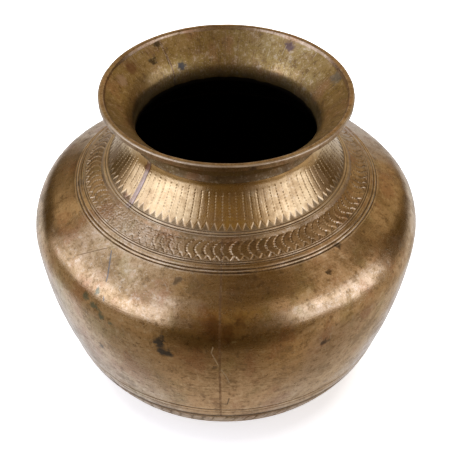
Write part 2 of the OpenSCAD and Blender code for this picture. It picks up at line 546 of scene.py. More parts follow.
def collar_relief(ring, az):
    """Rows of punched dots over a row of triangles, and the lines on the flange."""
    # painted shade: the collar's inside is black
    if not ring.outer:
        return Skin(az, 1.0)
    skin = Skin(az)
    up = collar_foot - ring.along
    if up > 0.05:
        sweep = 360 - NECK_SEAM[1]
        place = ((az - NECK_SEAM[0] - NECK_SEAM[1] / 2) % 360) / sweep * COLLAR_ROWS
        on_row = place < COLLAR_ROWS
        column = np.floor(place).astype(int)
        wide = 2 * math.pi * ring.r * sweep / 360 / COLLAR_ROWS
        across = (place - column - 0.5) * wide
        triangles(skin, up, across, wide, column, on_row)
        dots = dot_row(across, np.full_like(az, up), column, COLLAR_PITCH, 31, COLLAR_DOT, 0)
        top = collar_foot - SEAT - 1.2 + 0.5 * jitter[column % GRID, 5, 0]
        low = DOTS_START + 0.7 * np.abs(jitter[column % GRID, 6, 0])
        fade = window(up, low, top, 0.4) * np.clip(0.9 + 0.2 * pattern_waves(az, up), 0.3, 1.2)
        skin.add(dots * fade * on_row, COLLAR_DEPTH, 0.5)
        # a thin raised line at the throat, painted bright as a highlight
        skin.add(groove(ring.z, THROAT_H - 0.1, 0.7) * np.ones_like(az), -0.02, 0, 0.3)
    elif ring.r < FLANGE_R - 0.02:
        for r, width, deep in FLANGE_LINES:
            skin.engrave((ring.r - r) / slope_cos, width, deep, 0.8, 0.5)
        # the flange is painted a little brighter, partly as wear and partly as a painted highlight
        skin.add(np.ones_like(az), 0, 0, 0.25)
    skin.add(swell(body_waves(az, ring.along * 2)) * window(up, 1, collar_foot - 6, 3), 0.1)
    from_edge = np.radians(az - NECK_SEAM[0] - NECK_SEAM[1] / 2) * ring.r
    for place, width, deep, grime_and_shade in NECK_SEAM_LINES:
        skin.add(groove(from_edge, place, width), deep, grime_and_shade)
    return skin


def triangles(skin, up, across, wide, column, on_row):
    """The row of small flames that stands on the collar's foot."""
    tip = TRIANGLE_H * (1 + 0.07 * jitter[column % GRID, 3, 0])
    if up > tip.max() + 0.3:
        return
    lean = 0.05 * up * jitter[column % GRID, 4, 0]
    away = np.abs(across + lean)
    half = 0.5 * wide * np.clip(1 - up / tip, 0, 1) ** 1.15
    inside = step(half - away, 0.0, 0.25) * (up < tip) * on_row
    stroke = groove(away, half, 0.55) * (up < tip + 0.15) * on_row
    hatch = 0.5 + 0.5 * np.sin((across + 0.7 * up) * 2 * math.pi / 0.85)
    skin.add(inside, 0.08 + 0.04 * hatch, 0.55 + 0.15 * hatch)
    # the outlines are kept clean and painted bright, partly as wear and partly as a painted highlight
    skin.add(stroke, 0.14, -0.5, 0.6)


PETALS = 92
PETAL_TOP = 2.2
PETAL_H = 9.5
PETAL_LEAN = 0.22
PETAL_DEPTH = 0.26
SAG = 0.15  # depth of the dents


def pan_relief(ring, az):
    """The row of leaning petals between two lines, each with a vein and some with a comma."""
    # painted shade: the pan's inside is black
    if not ring.outer:
        return Skin(az, 1.0)
    skin = Skin(az)
    down = ring.along
    edge = np.ones_like(az)
    skin.add(edge * np.clip(1 - down / 0.8, 0, 1), 0.3, 1.2)
    wide = 2 * math.pi * ring.r / PETALS
    lean = PETAL_LEAN * (down - PETAL_TOP)
    place = az / 360 * PETALS + lean / wide + 0.1 * pattern_waves(az, 0)
    column = np.floor(place).astype(int)
    across = (place - column - 0.5) * wide
    t = np.clip((down - PETAL_TOP) / PETAL_H, 0, 1)
    half = 0.47 * wide * np.sqrt(np.clip(4 * t * (1 - t), 0, 1)) ** 0.7
    band = window(down, PETAL_TOP, PETAL_TOP + PETAL_H, 0.3)
    strength = np.clip(0.6 + 0.3 * jitter[column % GRID, 9, 2], 0.15, 1.0)
    outside = 1 - step(half - np.abs(across), -0.1, 0.7)
    skin.add(band * outside * strength, PETAL_DEPTH, 0.55)
    skin.add(band * groove(np.abs(across), half, 0.7) * strength, 0.05, 0.1)
    vein = groove(across, 0.2 * wide * (t - 0.4), 0.5) * window(t, 0.25, 0.8, 0.1)
    skin.add(band * vein * strength, 0.07, 0.2)
    comma = groove(across, 0.15 * wide * (1 - 2 * t), 0.8) * window(t, 0.08, 0.3, 0.08)
    skin.add(band * comma * (jitter[column % GRID, 15, 0] > 0.6), 0.14, 0.9)
    for s in (PETAL_TOP - 0.9, PETAL_TOP + PETAL_H + 1.2):
        skin.engrave(down - s, 0.7, 0.14, 0.55, 0.2)
    sag = swell(body_waves(az, down)) * step(down, 1, 6) * step(ring.z, 0.0, 6.0)
    skin.add(sag, SAG)
    skin.add(edge * step(-ring.z, -12, -2), 0, 0.25)
    return skin


FLARE_DENT = 0.14
SEAT_DARK = 2.5  # the flare's edge in its seat is painted black as shade
SHADE_EDGE = (19.2, 27.2)  # distances down the flare over which painted black shade sets in towards the throat


def flare_relief(ring, az):
    """Dents, and painted shade that turns black down the throat with a ragged edge. The outside is
    painted darker as shade under the lip, darkest towards the throat, and black in its seat.
    """
    if not ring.outer:
        # painted shade on the outside under the lip, darker towards the throat
        dull = 0.65 - 0.35 * float(step(ring.along, 10, 20))
        return Skin(az, 1.0 if ring.along < SEAT_DARK else dull)
    skin = Skin(az)
    skin.add(swell(body_waves(az, ring.along)) * window(ring.along, 3, 17, 3), FLARE_DENT)
    ragged = ring.along + 0.35 * edge_waves(az, 0.7 * ring.along)
    # painted shade darkening to black down the throat
    skin.add(step(ragged, *SHADE_EDGE) ** 1.3, 0, 1)
    return skin


def lip_relief(ring, az):
    """An uneven lip, brightened along its upper outer edge by wear and a painted highlight, and a little
    darker on its lower part.
    """
    skin = Skin(az)
    skin.add(swell(edge_waves(az, ring.along)), 0.05)
    edge = window(ring.r, LIP_R - 0.9, LIP_R - 0.1, 0.15) * (ring.z > HEIGHT - 1.0)
    # the upper outer edge is painted bright: partly wear, partly a painted highlight
    skin.add(edge * np.clip(0.8 + 0.35 * edge_waves(az, 9.0), 0, 1), 0, 0, 1)
    skin.add(np.ones_like(az) * (ring.z < HEIGHT - 1.3), 0, 0.12)
    return skin


def bead_relief(ring, az):
    """A lumpy bead of brazing."""
    skin = Skin(az)
    skin.add(swell(edge_waves(az, ring.along) + 0.4 * fine_waves(az, 1.0), 1.0), 0.05)
    skin.add(np.clip(0.1 + 0.15 * edge_waves(az, 5.0), 0, 1), 0, 1)
    return skin


# ---------------- the pieces


lap_line = Outline(arc(belly_c, BELLY_R - SHEET / 2, -joint_a, -lap_a))


def body_rings(fine, middle, coarse):
    """The rings of the body, close together over the crescents and at each line."""
    line = body_outer
    band_end = line.at_radius(71.9)
    lines_end = line.at_radius(76.2)
    flange = line.at_radius(FLANGE_R)
    grooves = line.at_height(36.5)
    end = line.length
    cuts = [line.at_radius(r) for r, _, _ in SHOULDER_LINES]
    low_cuts = [line.at_height(z) for z, _ in LOW_LINES]
    rings = rings_on(line, spread(0, flange, 2.0, False), coarse)
    band = with_lines(spread(flange, band_end, 0.3, False), cuts, 0.4, 0.2)
    rings += rings_on(line, band, fine)
    ridge = with_lines(spread(band_end, lines_end, 0.6, False), cuts, 0.7, 0.175)
    rings += rings_on(line, ridge, middle)
    rings += rings_on(line, spread(lines_end, grooves, 2.8, False), coarse)
    foot = with_lines(spread(grooves, end - 0.7, 1.2, False), low_cuts, 0.7, 0.2)
    rings += rings_on(line, foot, coarse)
    rings += rings_on(line, [end - 0.45, end - 0.2, end], coarse)
    rings += rings_on(lap_line, [0, lap_line.length], coarse, False)
    inner = rings_on(body_inner, spread(0, body_inner.length, 5.5), coarse, False)
    return rings + inner[::-1]


def pan_rings(fine, coarse):
    """The rings of the base pan, from the middle of its inside, over its rim, to the foot's middle."""
    outer, inner = pan_line(0), pan_line(SHEET)
    band_end = PETAL_TOP + PETAL_H + 2.2
    lap_in = Outline(arc(belly_c, BELLY_R - SHEET, -lap_a, -joint_a))
    rings = rings_on(inner, spread(2.0, inner.length - 1.0, 3.0), coarse, False)[::-1]
    rings += rings_on(lap_in, [lap_in.length / 2, 0], coarse, False)
    rings += rings_on(lap_line, [lap_line.length, lap_line.length / 2, 0], coarse, False)
    rings += rings_on(outer, spread(0, 1.0, 0.25, False), coarse)
    rings += rings_on(outer, spread(1.0, band_end, 0.36, False), fine)
    rings += rings_on(outer, spread(band_end, outer.length - 1.0, 2.0), coarse)
    return rings


def collar_rings(fine, coarse):
    """The rings of the collar, four to each dot of its rows."""
    gap = COLLAR_PITCH / 4
    edge = collar_foot + FLANGE_W / slope_cos
    rows = collar_foot - gap * np.arange(int((collar_foot - 1.5) / gap), 0, -1)
    rings = rings_on(collar_line, spread(0, rows[0], 0.5, False), coarse)
    rings += rings_on(collar_line, rows, fine)
    rings += rings_on(collar_line, spread(collar_foot, edge, 0.14), coarse)
    rings += rings_on(collar_line, [collar_line.length], coarse)
    rings += rings_on(collar_inner, spread(0, collar_inner.length, 3.0), coarse, False)
    return rings


def flare_rings(cols):
    """The rings of the flared mouth, inside and then outside."""
    rings = rings_on(flare_inner, spread(0, flare_inner.length, 1.0), cols, True, -1)
    return rings + rings_on(flare_outer, spread(0, flare_outer.length, 1.5), cols, False)


def rounded(corners, radii, count=4):
    """Outline of a closed section with its corners rounded."""
    made = []
    for i, (p, radius) in enumerate(zip(corners, radii)):
        before, after = corners[i - 1], corners[(i + 1) % len(corners)]
        u = (before - p) / np.linalg.norm(before - p)
        v = (after - p) / np.linalg.norm(after - p)
        made.append(eased(p + radius * u, p, p + radius * v, count))
    return np.vstack(made)


def section_rings(points, cols):
    """Rings of a closed section that runs anticlockwise."""
    line = Outline(points, points[0])
    return rings_on(line, line.along[:-1], cols, True, -1)


LIP_ROLL = 1.3  # how far the lip's inner edge rolls inwards
LIP_EDGE = 1.1
lip_section = rounded(
    np.array([
        [lip_in_r, HEIGHT - LIP_H],
        [LIP_R - 0.1, HEIGHT - LIP_H],
        [LIP_R, HEIGHT - LIP_H / 2],
        [LIP_R, HEIGHT],
        [lip_in_r - 0.3, HEIGHT],
        [lip_in_r - LIP_ROLL, HEIGHT - 1.6],
        [lip_in_r - LIP_ROLL, HEIGHT - 2.0],
        [lip_in_r, HEIGHT - 2.0],
    ]),
    (0.3, 0.5, 0.3, LIP_EDGE, 0.6, 0.1, 0.1, 0.1),
    6,
)
lip_braze_section = np.array([
    [lip_in_r, HEIGHT - LIP_H],
    [lip_in_r - 0.35, HEIGHT - LIP_H + 0.28],
    [lip_in_r - FILLET, flare_end - FILLET / flare_tan],
    [lip_in_r, flare_end],
])
# the bead on the throat thins out up the flare's outside
throat_braze_section = np.array([
    [skirt_r - 0.1, THROAT_H],
    [THROAT_R - 0.1, THROAT_H],
    [THROAT_R - 0.5, THROAT_H + 1.1],
    [THROAT_R - 0.74, THROAT_H + 2.3],
    [THROAT_R - 0.9, THROAT_H + 3.3],
    [skirt_r + 0.12, THROAT_H + 4.3],
    [skirt_r, THROAT_H + 3.0],
    [skirt_r - 0.1, flare_start],
])
flange_foot = on_shoulder(FLANGE_R)
flange_top = on_shoulder(FLANGE_R, -FLANGE_T)
fillet_end = on_shoulder(FLANGE_R + FILLET)
collar_braze_section = np.array([
    flange_foot,
    fillet_end,
    (fillet_end + flange_top) / 2 * 0.8 + flange_foot * 0.2,
    flange_top,
])
lap_low = ray(-joint_a, BELLY_R - SHEET, belly_c)
lap_high = ray(-lap_a, BELLY_R - SHEET, belly_c)
base_braze_section = np.array([
    ray(-lap_a, BELLY_R - SHEET - FILLET / 2, belly_c),
    lap_high + (lap_high - lap_low) * 0.3,
    lap_high,
    lap_high + (lap_low - lap_high) * 0.4,
])

pieces = []


def piece(node, mesh):
    """Put a mesh in the place of a CAD node, on the pot's one body."""
    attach(mesh, BODY)
    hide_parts(node)
    pieces.append((node, mesh))


BODY_COLS = (1200, 600, 300)
PAN_COLS = (1288, 322)
COLLAR_SIZES = (COLLAR_ROWS * COLLAR_COLS, COLLAR_ROWS * 3)
FLARE_COLS = 300
BEAD_COLS = 360

piece("body_shell", revolve("body", body_rings(*BODY_COLS), body_relief, BODY_SEAM))
piece("body_seam",
      revolve("body_seam_strip", body_rings(4, 4, 4), body_relief, BODY_SEAM, strip=True))
piece("base_pan", revolve("base", pan_rings(*PAN_COLS), pan_relief, poles=True))
piece("neck_collar",
      revolve("collar", collar_rings(*COLLAR_SIZES), collar_relief, NECK_SEAM, rows=COLLAR_ROWS))
piece("neck_seam",
      revolve("neck_seam_strip", collar_rings(14, 14), collar_relief, NECK_SEAM, strip=True))
piece("mouth_flare",
      revolve("flare", flare_rings(FLARE_COLS), flare_relief, FLARE_SEAM))
piece("flare_seam",
      revolve("flare_seam_strip", flare_rings(4), flare_relief, FLARE_SEAM, strip=True))
piece("lip_ring", revolve("lip", section_rings(lip_section, BEAD_COLS), lip_relief))
for node, section in (
    ("lip_braze", lip_braze_section),
    ("throat_braze", throat_braze_section),
    ("collar_braze", collar_braze_section),
    ("base_braze", base_braze_section),
):
    bead = revolve(node + "_bead", section_rings(section, BEAD_COLS), bead_relief)
    piece(node, bead)

# ---------------- materials


class Nodes:
    """Short calls that add nodes to a tree. A value is a number, a tuple or another node's socket."""

    def __init__(self, tree):
        self.nodes = tree.nodes
        self.links = tree.links

    def put(self, value, socket):
        if isinstance(value, bpy.types.NodeSocket):
            self.links.new(value, socket)
        elif isinstance(value, tuple) and len(socket.default_value) == 4:
            socket.default_value = (*value, 1)
        else:
            socket.default_value = value

    def add(self, kind, inputs=(), **settings):
        """The outputs of a new node. inputs gives values by the socket's name or number."""
        node = self.nodes.new("ShaderNode" + kind)
        for name, value in settings.items():
            setattr(node, name, value)
        for key, value in dict(inputs).items():
            self.put(value, node.inputs[key])
        return node.outputs

    def math(self, operation, *values):
        return self.add("Math", enumerate(values), operation=operation)[0]

    def times(self, a, b):
        return self.math("MULTIPLY", a, b)

    def plus(self, a, b):
        return self.math("ADD", a, b)

    def between(self, value, low, high, to_low=0.0, to_high=1.0):
        """to_low where value is at low, to_high where it is at high, smooth in between."""
        if low > high:
            low, high, to_low, to_high = high, low, to_high, to_low
        ends = {"From Min": low, "From Max": high, "To Min": to_low, "To Max": to_high}
        return self.add("MapRange", {"Value": value, **ends}, interpolation_type="SMOOTHSTEP")[0]

    def mix(self, factor, a, b):
        """Colour a where factor is 0 and b where it is 1."""
        return self.add("Mix", {"Factor": factor, 6: a, 7: b}, data_type="RGBA")[2]


class Shade(Nodes):
    """Short calls that build one material's nodes."""

    def __init__(self, name):
        self.material = bpy.data.materials.new(name)
        self.material.use_nodes = True
        super().__init__(self.material.node_tree)
        self.shader = self.nodes["Principled BSDF"]
        self.position = self.add("TexCoord")["Object"]

    def vector(self, operation, a, b):
        """Vector maths. b is a number for SCALE and a vector otherwise."""
        second = "Scale" if operation == "SCALE" else 1
        result = "Value" if operation in ("DISTANCE", "DOT_PRODUCT") else "Vector"
        return self.add("VectorMath", {0: a, second: b}, operation=operation)[result]

    def stretched(self, scale):
        """The position, scaled along each axis."""
        return self.vector("MULTIPLY", self.position, scale)

    def round_vector(self, turns, along):
        """A vector that turns with the azimuth and rises with height."""
        unit = self.vector("NORMALIZE", self.stretched((1, 1, 0)), (0, 0, 0))
        return self.vector("ADD", self.vector("SCALE", unit, turns), self.stretched((0, 0, along)))

    def turned(self, turn, long, short):
        """The position turned by Euler angles and drawn out along its first axis."""
        size = (1 / long, 1 / short, 1 / short)
        angles = tuple(math.radians(a) for a in turn)
        inputs = {"Vector": self.position, "Rotation": angles, "Scale": size}
        return self.add("Mapping", inputs, vector_type="TEXTURE")[0]

    def noise(self, vector, scale=1.0, detail=3.0, rough=0.55, warp=0.0, part="Fac"):
        grain = {"Scale": scale, "Detail": detail, "Roughness": rough, "Distortion": warp}
        return self.add("TexNoise", {"Vector": vector, **grain})[part]

    def warped(self, scale, reach):
        """The position, shaken by noise."""
        shake = self.noise(self.position, scale, part="Color")
        return self.vector("ADD", self.position, self.vector("SCALE", shake, reach))

    def spots(self, scale, size, soft, share):
        """Scattered uneven spots: 1 inside. share is the part of the cells that holds one."""
        place = self.warped(2.5 * scale, 0.5 / scale)
        cells = self.add("TexVoronoi", {"Vector": place, "Scale": scale})
        chance = self.add("SeparateColor", {0: cells["Color"]})[0]
        chosen = self.between(chance, 1 - share - 0.02, 1 - share + 0.02)
        return self.times(self.between(cells["Distance"], size + soft, size), chosen)

    def attribute(self, name):
        return self.add("Attribute", attribute_name=name)["Fac"]

    def bump(self, height, strength, distance, **below):
        """A normal bent by height. below may give the normal that it starts from, as Normal."""
        inputs = {"Height": height, "Strength": strength, "Distance": distance, **below}
        return self.add("Bump", inputs)[0]

    def from_line(self, start, end):
        """Distance in metres from the straight line between two points."""
        way = end - start
        rest = self.vector("SUBTRACT", self.position, tuple(start))
        share = self.vector("DOT_PRODUCT", rest, tuple(way / way.length_squared))
        share = self.math("MINIMUM", self.math("MAXIMUM", share, 0.0), 1.0)
        return self.vector("DISTANCE", rest, self.vector("SCALE", tuple(way), share))


CLEAN = (0.68, 0.465, 0.262)
GOLDEN = (0.56, 0.36, 0.165)
BROWN = (0.40, 0.25, 0.115)
COPPER = (0.52, 0.28, 0.14)
OLIVE = (0.44, 0.35, 0.14)
MAUVE = (0.47, 0.37, 0.28)
UMBER = (0.23, 0.135, 0.06)
DARK = (0.055, 0.036, 0.02)
# near black: painted shade inside the pot, under the collar, in the flare's seat and down the throat,
# and the darkest joint lines
SHADE_AND_JOINT_BLACK = (0.012, 0.008, 0.005)
FRESH = (0.84, 0.70, 0.50)
INK = (0.07, 0.075, 0.085)
RUST = (0.26, 0.12, 0.06)
PURPLE = (0.16, 0.10, 0.11)
PALE_PINK = (0.60, 0.42, 0.33)
SLATE = (0.20, 0.20, 0.19)
TEAL = (0.17, 0.20, 0.14)
STAIN_SHAKE = 0.006
MAUVE_FROM = (0.082, 0.058)  # heights in metres over which the mauve grey of the belly sets in, a painted reflection of the pale floor


def surface_point(line, azimuth, height, sunk=0.0):
    """The point of a dented piece of revolution at that azimuth and height, in metres."""
    r = line.at(line.at_height(height))[0] - sunk
    a = math.radians(azimuth)
    return Vector((r * math.cos(a), r * math.sin(a), height)) * MM


def layered(m, colour, layers):
    """Colours over one another: a noise, where it starts to show and is full, strength, colour."""
    for noise, low, high, strength, shade in layers:
        colour = m.mix(m.times(m.between(noise, low, high), strength), colour, shade)
    return colour


def stained(m, colour, line, marks):
    """Stains (azimuth, height, size, tallness, strength, colour) on the outline line."""
    for azimuth, height, size, tall, strength, shade in marks:
        flat = (1, 1, 1 / tall)
        place = surface_point(line, azimuth, height) + Vector((0.5, 0.5, 0.5)) * STAIN_SHAKE
        shaken = m.vector("MULTIPLY", m.warped(380, STAIN_SHAKE), flat)
        gap = m.vector("DISTANCE", shaken, tuple(place * Vector(flat)))
        inside = m.between(gap, 1.5 * size * MM, 0.6 * size * MM)
        colour = m.mix(m.times(inside, strength), colour, shade)
    return colour


def scratched(m, colour, line, sunk, scratches):
    """Straight scratches (azimuth, height, azimuth, height, width, colour). sunk is how far the
    dents set the surface in. Also returns where the bright ones are."""
    worn = 0.0
    for az_from, z_from, az_to, z_to, width, shade in scratches:
        start = surface_point(line, az_from, z_from, sunk)
        end = surface_point(line, az_to, z_to, sunk)
        inside = m.between(m.from_line(start, end), width * MM, width * 0.4 * MM)
        colour = m.mix(m.times(inside, 0.8), colour, shade)
        if shade == FRESH:
            worn = m.math("MAXIMUM", inside, worn)
    return colour, worn


def brushed(m, colour, strokes):
    """Clusters of short dark and light strokes that run up the metal."""
    clusters = m.between(m.noise(m.position, 70, 2), 0.42, 0.58)
    dark = m.between(m.noise(m.round_vector(130, 150), 1, 3, 0.6), 0.54, 0.66)
    light = m.between(m.noise(m.round_vector(150, 110), 1, 3, 0.6), 0.62, 0.70)
    colour = m.mix(m.times(m.times(dark, clusters), strokes), colour, UMBER)
    return m.mix(m.times(m.times(light, clusters), strokes), colour, FRESH)


def haired(m, colour, patches):
    """Fine bright scratches in three directions, in some places more than others."""
    hair = 0.0
    for turn in ((20, 35, 10), (-30, 80, 50), (60, -15, 120)):
        found = m.noise(m.turned(turn, 60, 1500), 1, 2, 0.5)
        hair = m.math("MAXIMUM", m.between(found, 0.66, 0.74), hair)
    hair = m.times(hair, m.between(patches, 0.35, 0.6))
    return m.mix(m.times(hair, 0.55), colour, FRESH)


def brass(name, streak="round", brown=0.5, rough=0.33, clean=CLEAN, golden=GOLDEN, dirt_and_shade=DARK,
          streaks=0.3, mottled=1.0, strokes=0.0, mauve=0.0,
          line=None, sunk=0.0, marks=(), scratches=()):
    """Old brass: mottled patina, streaks, hair scratches, dirt in the cuts, painted black shade inside,
    and edges made bright by wear and painted highlights.
    streak is "round" for lines that run round the pot, or "up" for lines that run up it. brown,
    streaks, mottled and strokes are how strong those are, mauve is how strong the painted reflection of
    the floor on the lower belly is, and dirt_and_shade is the colour of the dirt and the painted shade.
    line is the piece's outline, and the rest are as for stained and scratched."""
    m = Shade(name)
    p = m.position
    broad = m.noise(p, 34, 3, 0.6)
    patches = m.noise(p, 95, 4, 0.62, 0.3)
    mottle = m.noise(p, 330, 4, 0.62)
    fine = m.noise(p, 1100, 3, 0.6)
    hue = m.noise(m.stretched((1.1, 1.1, 0.7)), 62, 3, 0.6)
    if streak == "round":
        lines = m.noise(m.stretched((1, 1, 26)), 32, 5, 0.7, 0.3)
        scratch = m.noise(m.stretched((1, 1, 60)), 46, 3, 0.6)
    else:
        lines = m.noise(m.round_vector(34, 9), 1, 5, 0.7)
        scratch = m.noise(m.round_vector(90, 30), 1, 3, 0.6)
    tone = m.plus(m.times(patches, 0.35), m.times(mottle, 0.3))
    tone = m.plus(m.times(broad, 0.35), tone)
    colour = m.mix(m.between(tone, 0.43, 0.59), clean, golden)
    colour = layered(m, colour, (
        (patches, 0.50, 0.66, brown, BROWN),
        (hue, 0.52, 0.68, 0.9 * brown, COPPER),
        (hue, 0.46, 0.32, 0.45 * brown, OLIVE),
    ))
    # a mauve grey over the lower belly: a painted reflection of the pale floor, broken up by noise
    if mauve:
        low = m.between(m.vector("DOT_PRODUCT", p, (0, 0, 1)), *MAUVE_FROM)
        low = m.times(low, m.between(broad, 0.35, 0.6, 0.5, 1.0))
        colour = m.mix(m.times(low, mauve), colour, MAUVE)
    colour = layered(m, colour, (
        (lines, 0.5, 0.72, streaks, BROWN),
        (mottle, 0.53, 0.70, 0.75 * mottled, UMBER),
        (mottle, 0.44, 0.32, 0.4 * mottled, FRESH),
        (fine, 0.54, 0.70, 0.65 * mottled, UMBER),
        (fine, 0.43, 0.30, 0.45 * mottled, FRESH),
    ))
    if strokes:
        colour = brushed(m, colour, strokes)
    colour = haired(m, colour, patches)
    spots = m.spots(60, 0.1, 0.07, 0.16)
    colour = m.mix(m.times(spots, 0.6 * mottled), colour, DARK)
    specks = m.spots(300, 0.16, 0.14, 0.12)
    colour = m.mix(m.times(specks, 0.3 * mottled), colour, DARK)
    colour = stained(m, colour, line, marks)
    colour, worn = scratched(m, colour, line, sunk, scratches)
    # the dirt and shade value: dirt in cuts and seams, painted shade under the lip, and painted black
    # shade where it is full
    grime_and_shade = m.attribute("grime_and_shade")
    uneven = m.times(grime_and_shade, m.between(mottle, 0.3, 0.65, 1.0, 0.72))
    colour = m.mix(uneven, colour, dirt_and_shade)
    # the bright value paints the fresh metal colour: wear on edges and cuts, and painted highlights and
    # glints
    bright = m.times(m.attribute("bright"), m.between(patches, 0.3, 0.7, 0.95, 0.5))
    colour = m.mix(bright, colour, FRESH)
    # painted black shade where the dirt and shade value is full
    colour = m.mix(m.between(grime_and_shade, 0.97, 1.0), colour, SHADE_AND_JOINT_BLACK)
    m.put(colour, m.shader.inputs["Base Color"])
    m.shader.inputs["Metallic"].default_value = 1.0
    dull = m.between(tone, 0.38, 0.64, rough - 0.06, rough + 0.12)
    rubbed = m.math("MAXIMUM", bright, worn)
    for part, more in ((m.between(lines, 0.4, 0.75), 0.08), (grime_and_shade, 0.3), (spots, 0.15), (rubbed, 0.32)):
        dull = m.plus(dull, m.times(part, more))
    m.put(m.math("MINIMUM", dull, 0.92), m.shader.inputs["Roughness"])
    normal = m.bump(m.noise(p, 60, 2, 0.5), 0.35, 0.6 * MM)
    for height, strength, reach in ((mottle, 0.3, 0.14), (scratch, 0.3, 0.09), (fine, 0.25, 0.06)):
        normal = m.bump(height, strength, reach * MM, Normal=normal)
    m.put(normal, m.shader.inputs["Normal"])
    return m.material


# the spots and scratches that the photo shows, laid out as stained and scratched say
BODY_MARKS = (
    (251.5, 86.5, 2.6, 1.2, 0.9, INK),
    (252.5, 90, 0.9, 3.0, 0.7, INK),
    (253, 80.5, 3.4, 0.8, 0.9, INK),
    (298.5, 79.5, 2.0, 1.0, 0.8, DARK),
    (313.5, 114, 1.7, 1.0, 0.8, DARK),
    (304.5, 109.5, 1.5, 1.0, 0.8, DARK),
    (230.5, 64.5, 1.6, 1.0, 0.8, DARK),
    (227, 95.5, 2.0, 1.2, 0.8, TEAL),
    (230.5, 93.5, 2.2, 0.7, 0.8, TEAL),
    (233, 90.5, 1.8, 1.2, 0.8, TEAL),
    (236.5, 88.5, 1.2, 1.0, 0.7, TEAL),
    (230.5, 101, 1.4, 1.0, 0.75, TEAL),
    (272, 92, 0.9, 1.0, 0.9, FRESH),
    (266.5, 100, 2.6, 4.0, 0.5, RUST),
    (270.5, 97, 2.2, 3.5, 0.45, RUST),
    (274, 103, 2.0, 3.0, 0.4, RUST),
)
BODY_SCRATCHES = (
    (266.5, 88.5, 266, 84.5, 0.45, FRESH),
    (266, 84.5, 268.5, 72.5, 0.38, FRESH),
    (268.5, 72.5, 270, 67, 0.45, FRESH),
    (270, 67, 271, 61, 0.42, FRESH),
    (267.5, 40.5, 270.5, 40.5, 0.45, DARK),
    (270.5, 40.5, 271, 46.5, 0.4, DARK),
    (227, 112.5, 231.5, 107, 0.6, SLATE),
    (231.5, 107, 233.5, 98.5, 0.5, SLATE),
    (217.5, 106.5, 226.5, 113.5, 0.4, UMBER),
)
NECK_MARKS = (
    (220, 140.5, 2.2, 1.0, 0.85, RUST),
    (214.5, 125.5, 2.6, 0.8, 0.8, RUST),
    (259.5, 140, 0.9, 1.0, 0.9, FRESH),
    (264.5, 140, 0.9, 1.0, 0.9, FRESH),
)
FLARE_MARKS = (
    (119.5, 152, 2.2, 1.0, 0.85, INK),
    (128, 162, 1.8, 1.0, 0.8, DARK),
    (135.5, 157.5, 1.6, 1.0, 0.8, DARK),
    (151, 159.5, 3.4, 1.0, 0.7, RUST),
    (163, 159, 3.0, 1.0, 0.6, PALE_PINK),
    (54.5, 160.5, 2.4, 1.0, 0.8, PURPLE),
    (16, 161, 3.6, 0.8, 0.6, SLATE),
)
FLARE_SCRATCHES = (
    (125.5, 161.5, 127, 155, 0.3, DARK),
    (127, 155, 128.5, 148.5, 0.3, DARK),
    (56.5, 160.5, 56.5, 157, 0.4, FRESH),
    (49, 158, 49.5, 155.5, 0.4, FRESH),
    (96, 156.5, 99, 156, 0.35, FRESH),
    (133, 152.5, 133.5, 150, 0.35, FRESH),
)
FLARE_CLEAN = (0.49, 0.335, 0.13)
FLARE_GOLDEN = (0.38, 0.25, 0.065)
# darker copies of the spelter colours for the bead at the throat, as painted shade under the flare
THROAT_CLEAN = (0.26, 0.18, 0.09)
THROAT_GOLDEN = (0.2, 0.13, 0.06)
finishes = {
    "body_shell": brass("body_brass", "round", 0.8, 0.2, mottled=0.85, mauve=0.3,
                        line=body_outer, sunk=0.3, marks=BODY_MARKS, scratches=BODY_SCRATCHES),
    "body_seam": brass("body_seam_spelter", "round", 0.5, 0.32,
                       clean=(0.45, 0.28, 0.15), golden=(0.34, 0.2, 0.1)),
    "base_pan": brass("base_brass", "round", 0.5, 0.34,
                      clean=(0.62, 0.44, 0.27), golden=(0.48, 0.33, 0.19)),
    "neck_collar": brass("neck_brass", "up", 0.2, 0.2, clean=(0.73, 0.51, 0.255), mottled=0.3,
                         streaks=0.45, line=collar_line, marks=NECK_MARKS),
    "neck_seam": brass("neck_seam_spelter", "up", 0.2, 0.3, clean=(0.54, 0.40, 0.32),
                       golden=(0.45, 0.33, 0.255), dirt_and_shade=PURPLE, mottled=0.4,
                       line=collar_line, marks=NECK_MARKS),
    "mouth_flare": brass("mouth_brass", "up", 0.6, 0.4, FLARE_CLEAN, FLARE_GOLDEN,
                         streaks=0.6, strokes=0.85, dirt_and_shade=(0.08, 0.05, 0.014),
                         line=flare_inner, marks=FLARE_MARKS, scratches=FLARE_SCRATCHES),
    "flare_seam": brass("flare_seam_spelter", "up", 0.4, 0.4,
                        clean=(0.34, 0.22, 0.15), golden=UMBER),
    "lip_ring": brass("lip_brass", "round", 0.6, 0.26,
                      clean=(0.52, 0.37, 0.235), golden=(0.42, 0.29, 0.17)),
    "throat_braze": brass("throat_spelter", "round", 0.6, 0.4, THROAT_CLEAN, THROAT_GOLDEN),
}
fillet = brass("fillet_spelter", "round", 0.6, 0.4, clean=(0.42, 0.28, 0.15))
for node, mesh in pieces:
    mesh.data.materials.append(finishes.get(node, fillet))

# ---------------- floor, light and camera


